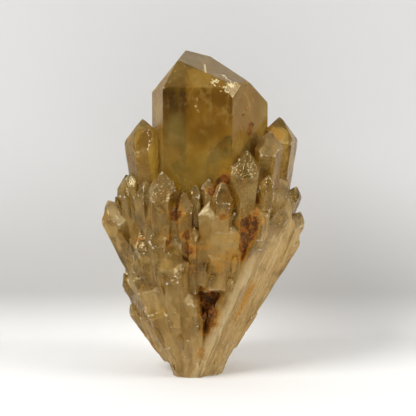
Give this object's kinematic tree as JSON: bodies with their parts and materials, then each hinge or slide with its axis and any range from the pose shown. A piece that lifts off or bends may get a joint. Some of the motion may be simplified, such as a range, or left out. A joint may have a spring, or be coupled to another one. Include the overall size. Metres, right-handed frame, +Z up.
{
  "type": "citrine cluster",
  "caption": "Cluster of citrine quartz points that fan out of one root, with a tall blunt crystal in the middle, cut off flat below so that it stands for display.",
  "frame": {"origin": "the middle of the flat cut at the root, at floor level", "axes": "+Z up along the tall crystal, +Y away from the front, +X to the right seen from the front"},
  "size_m": [0.0667, 0.0421, 0.1066],
  "materials": {
    "citrine": "clear honey-brown quartz at the points, milky and frosted towards the root, with rust-brown iron stains in the crevices"
  },
  "bodies": {
    "root": {"citrine_cluster": "citrine"}
  },
  "joints": []
}
